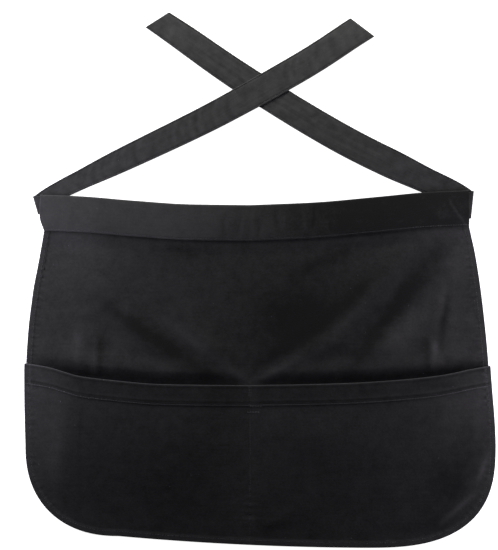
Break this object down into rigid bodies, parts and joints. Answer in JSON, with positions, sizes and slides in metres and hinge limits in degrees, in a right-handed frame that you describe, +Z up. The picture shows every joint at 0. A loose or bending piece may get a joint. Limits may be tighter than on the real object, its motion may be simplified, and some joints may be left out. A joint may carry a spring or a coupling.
{
  "type": "waist apron",
  "caption": "Short black twill waist apron with a folded waistband, long ties crossed above it and a rounded panel of open pockets across its lower half, laid flat.",
  "frame": {"origin": "underside of the waistband's back wall, at the middle of the band, where it meets the wearer's waist and the surface that the apron lies on", "axes": "+X to the right as seen from above, +Y from the hem up through the waistband to the ties, +Z up out of the apron's front"},
  "size_m": [0.5417, 0.6156, 0.0138],
  "materials": {
    "skirt_twill": "matt black twill with a soft sheen",
    "pocket_twill": "matt black twill with a soft sheen",
    "band_twill": "pressed black twill, topstitched",
    "tie_twill": "doubled black twill, topstitched"
  },
  "bodies": {
    "root": {"skirt": "skirt_twill", "pocket_panel": "pocket_twill", "waistband": "band_twill", "left_tie": "tie_twill", "right_tie": "tie_twill"}
  },
  "joints": []
}
